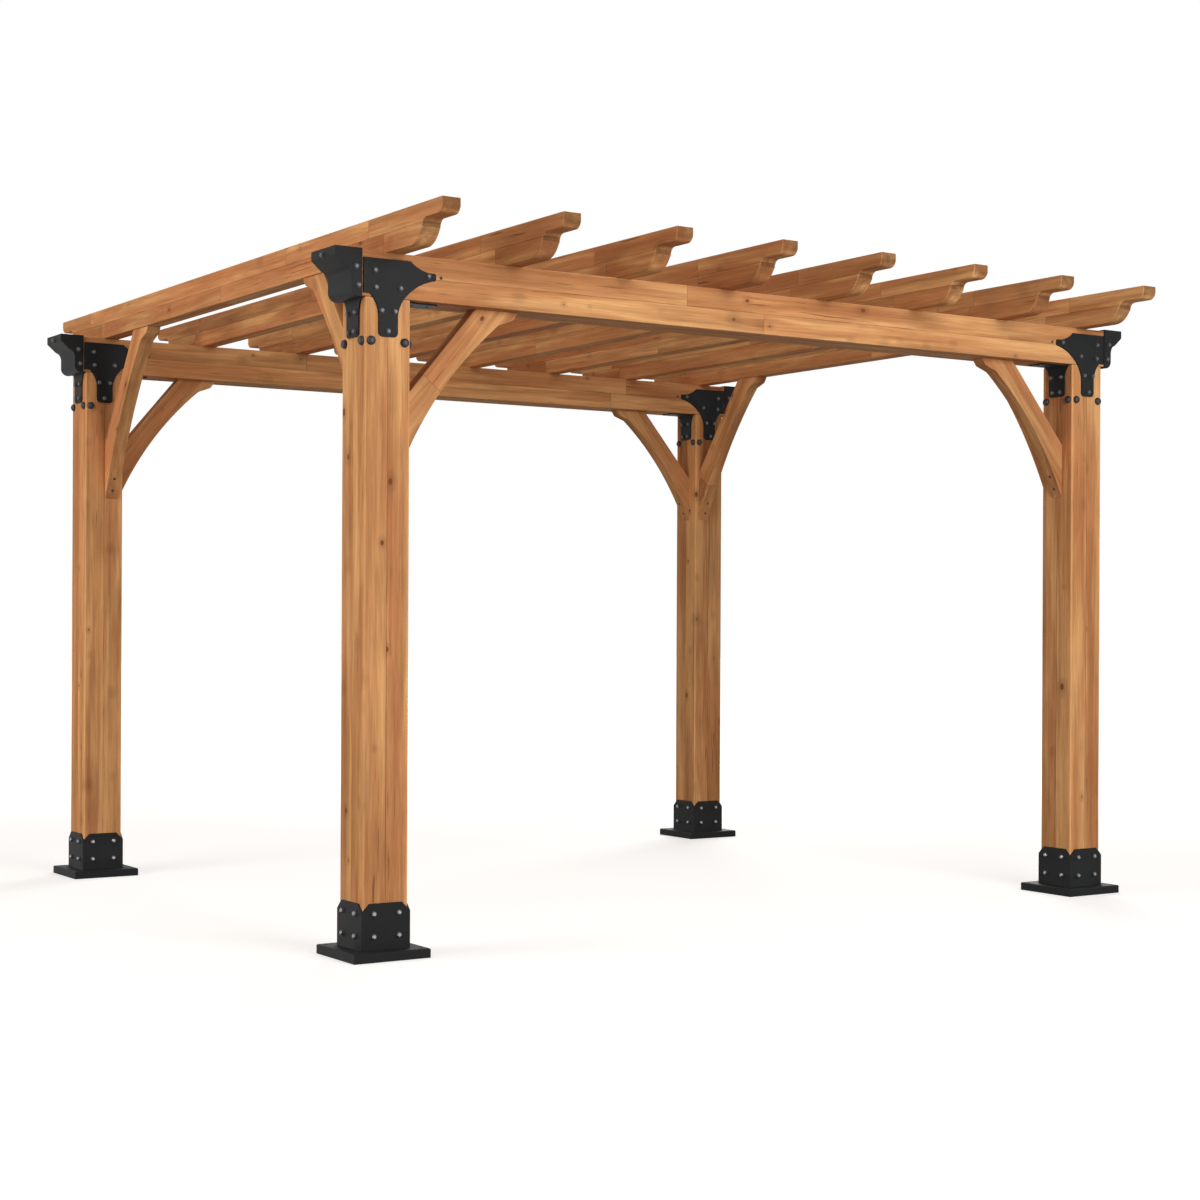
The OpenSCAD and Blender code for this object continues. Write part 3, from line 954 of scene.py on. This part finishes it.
def drive_screws(settings):
    """The dark screws in the braces and the beams."""
    sizes = settings.fasteners
    bronze = dark_finish("screw_bronze")
    for name, seats in (("brace_screws", brace_screws()), ("beam_screws", beam_screws())):
        fastener_set(name, seats, "screw", sizes.screw, sizes.screw_height, bronze)


# Stage


def seen_directly(tree):
    """One for rays that show the background itself, nothing for light that bounces off it."""
    path = node(tree, "ShaderNodeLightPath").outputs
    seen = maths(tree, "MAXIMUM", path["Is Camera Ray"], path["Is Glossy Ray"])
    return maths(tree, "MAXIMUM", seen, path["Is Transmission Ray"])


def lay_floor():
    """A wide pale floor that melts into the white behind it and keeps soft shadows."""
    mesh = bpy.data.meshes.new("studio_floor")
    sides = ((-1, -1), (1, -1), (1, 1), (-1, 1))
    mesh.from_pydata([(x * FLOOR_HALF, y * FLOOR_HALF, -FLOOR_DROP) for x, y in sides],
                     [], [(0, 1, 2, 3)])
    made, tree = new_material("studio_white")
    pale = node(tree, "ShaderNodeBsdfDiffuse", {"Color": FLOOR_GREY}).outputs[0]
    place = node(tree, "ShaderNodeTexCoord").outputs["Object"]
    away = node(tree, "ShaderNodeVectorMath", {0: place}, operation="LENGTH").outputs["Value"]
    glow = ramp(tree, away, *GLOW_AT, *GLOW)
    lift = node(tree, "ShaderNodeEmission", {"Color": WHITE, "Strength": glow}).outputs[0]
    shown = node(tree, "ShaderNodeAddShader", {0: pale, 1: lift}).outputs[0]
    dim = node(tree, "ShaderNodeBsdfDiffuse", {"Color": FLOOR_BOUNCE}).outputs[0]
    mix = node(tree, "ShaderNodeMixShader", {0: seen_directly(tree), 1: dim, 2: shown}).outputs[0]
    node(tree, "ShaderNodeOutputMaterial", {"Surface": mix})
    mesh.materials.append(made)
    floor = bpy.data.objects.new("studio_floor", mesh)
    bpy.context.scene.collection.objects.link(floor)


def light_sky(strength):
    """Even light from all round, with a white background."""
    world = bpy.data.worlds.new("studio_sky")
    bpy.context.scene.world = world
    world.use_nodes = True
    tree = world.node_tree
    tree.nodes.clear()
    white, soft = [
        node(tree, "ShaderNodeBackground", {"Color": tint, "Strength": power}).outputs[0]
        for tint, power in ((WHITE, 1.0), (SKY_TINT, strength))]
    mix = node(tree, "ShaderNodeMixShader", {0: seen_directly(tree), 1: soft, 2: white}).outputs[0]
    node(tree, "ShaderNodeOutputWorld", {"Surface": mix})


def hang_lamp(name, place, target, power, tint):
    """A large square lamp aimed at a point."""
    lamp = bpy.data.lights.new(name, "AREA")
    lamp.shape = "SQUARE"
    lamp.size = LAMP_SIZE
    lamp.energy = power
    lamp.color = tint
    made = bpy.data.objects.new(name, lamp)
    aim = (Vector(target) - Vector(place)).to_track_quat("-Z", "Y")
    made.matrix_world = Matrix.Translation(place) @ aim.to_matrix().to_4x4()
    bpy.context.scene.collection.objects.link(made)


def stand_camera(stage):
    """The camera at the viewing angle, level but for a small roll."""
    lens = bpy.data.cameras.new("studio_camera")
    lens.sensor_width = SENSOR_MM
    lens.lens = stage.lens
    lens.shift_y = stage.shift
    lens.clip_end = FAR_CLIP
    made = bpy.data.objects.new("studio_camera", lens)
    turn = Matrix.Rotation(-stage.turn, 4, "Z")
    tilt = Matrix.Rotation(math.pi / 2, 4, "X")
    roll = Matrix.Rotation(stage.roll, 4, "Z")
    made.matrix_world = Matrix.Translation(stage.place) @ turn @ tilt @ roll
    bpy.context.scene.collection.objects.link(made)
    bpy.context.scene.camera = made


def set_stage(settings):
    """Floor, sky, lamps and camera."""
    stage = settings.stage
    lay_floor()
    light_sky(stage.sky)
    for name, (place, target, tint) in LAMPS.items():
        hang_lamp(name + "_lamp", place, target, getattr(stage, name), tint)
    stand_camera(stage)
    bpy.context.scene.view_settings.view_transform = "Standard"


# Operators, one for each kind of piece and one for the stage


class PERGOLA_OT_lay_posts(bpy.types.Operator):
    """Lay up the four posts from glued staves"""
    bl_idname = "pergola.lay_posts"
    bl_label = "Posts"

    def execute(self, context):
        lay_posts(context.scene.pergola)
        return {"FINISHED"}


class PERGOLA_OT_lay_beams(bpy.types.Operator):
    """Lay up the two beams from glued staves"""
    bl_idname = "pergola.lay_beams"
    bl_label = "Beams"

    def execute(self, context):
        lay_beams(context.scene.pergola)
        return {"FINISHED"}


class PERGOLA_OT_lay_rafters(bpy.types.Operator):
    """Lay up the eight rafters from glued boards"""
    bl_idname = "pergola.lay_rafters"
    bl_label = "Rafters"

    def execute(self, context):
        lay_rafters(context.scene.pergola)
        return {"FINISHED"}


class PERGOLA_OT_lay_braces(bpy.types.Operator):
    """Lay up the eight arched braces"""
    bl_idname = "pergola.lay_braces"
    bl_label = "Braces"

    def execute(self, context):
        lay_braces(context.scene.pergola)
        return {"FINISHED"}


class PERGOLA_OT_coat_bases(bpy.types.Operator):
    """Coat the four post bases"""
    bl_idname = "pergola.coat_bases"
    bl_label = "Post bases"

    def execute(self, context):
        coat_bases(context.scene.pergola)
        return {"FINISHED"}


class PERGOLA_OT_coat_brackets(bpy.types.Operator):
    """Coat the plates, caps and angles at the post tops"""
    bl_idname = "pergola.coat_brackets"
    bl_label = "Brackets"

    def execute(self, context):
        coat_brackets(context.scene.pergola)
        return {"FINISHED"}


class PERGOLA_OT_drive_bolts(bpy.types.Operator):
    """Drive the hexagon bolts into the bases and brackets"""
    bl_idname = "pergola.drive_bolts"
    bl_label = "Bolts"

    def execute(self, context):
        drive_bolts(context.scene.pergola)
        return {"FINISHED"}


class PERGOLA_OT_fit_knobs(bpy.types.Operator):
    """Fit the round knobs on the posts"""
    bl_idname = "pergola.fit_knobs"
    bl_label = "Knobs"

    def execute(self, context):
        fit_knobs(context.scene.pergola)
        return {"FINISHED"}


class PERGOLA_OT_drive_screws(bpy.types.Operator):
    """Drive the dark screws into the braces and beams"""
    bl_idname = "pergola.drive_screws"
    bl_label = "Screws"

    def execute(self, context):
        drive_screws(context.scene.pergola)
        return {"FINISHED"}


class PERGOLA_OT_set_stage(bpy.types.Operator):
    """Set up the floor, the light and the camera"""
    bl_idname = "pergola.set_stage"
    bl_label = "Stage"

    def execute(self, context):
        set_stage(context.scene.pergola)
        return {"FINISHED"}


OPERATORS = (
    PERGOLA_OT_lay_posts, PERGOLA_OT_lay_beams, PERGOLA_OT_lay_rafters, PERGOLA_OT_lay_braces,
    PERGOLA_OT_coat_bases, PERGOLA_OT_coat_brackets, PERGOLA_OT_drive_bolts, PERGOLA_OT_fit_knobs,
    PERGOLA_OT_drive_screws, PERGOLA_OT_set_stage,
)


class PERGOLA_PT_finish(bpy.types.Panel):
    """Sizes, colours and the steps of the finish"""
    bl_idname = "PERGOLA_PT_finish"
    bl_label = "Pergola"
    bl_space_type = "VIEW_3D"
    bl_region_type = "UI"
    bl_category = "Pergola"

    def draw(self, context):
        settings = context.scene.pergola
        for group in (settings.timber, settings.steel, settings.fasteners, settings.stage):
            box = self.layout.box()
            for key in group.__annotations__:
                box.prop(group, key)
        for step in OPERATORS:
            self.layout.operator(step.bl_idname)


CLASSES = (
    PergolaTimber, PergolaSteel, PergolaFasteners, PergolaStage, PergolaSettings,
    *OPERATORS, PERGOLA_PT_finish,
)


def register():
    for made in CLASSES:
        bpy.utils.register_class(made)
    bpy.types.Scene.pergola = bpy.props.PointerProperty(
        name="Pergola", description="Settings of the pergola's finish", type=PergolaSettings)


def unregister():
    del bpy.types.Scene.pergola
    for made in reversed(CLASSES):
        bpy.utils.unregister_class(made)


def main():
    register()
    bpy.ops.pergola.lay_posts()
    bpy.ops.pergola.lay_beams()
    bpy.ops.pergola.lay_rafters()
    bpy.ops.pergola.lay_braces()
    bpy.ops.pergola.coat_bases()
    bpy.ops.pergola.coat_brackets()
    bpy.ops.pergola.drive_bolts()
    bpy.ops.pergola.fit_knobs()
    bpy.ops.pergola.drive_screws()
    bpy.ops.pergola.set_stage()


if __name__ == "__main__":
    main()
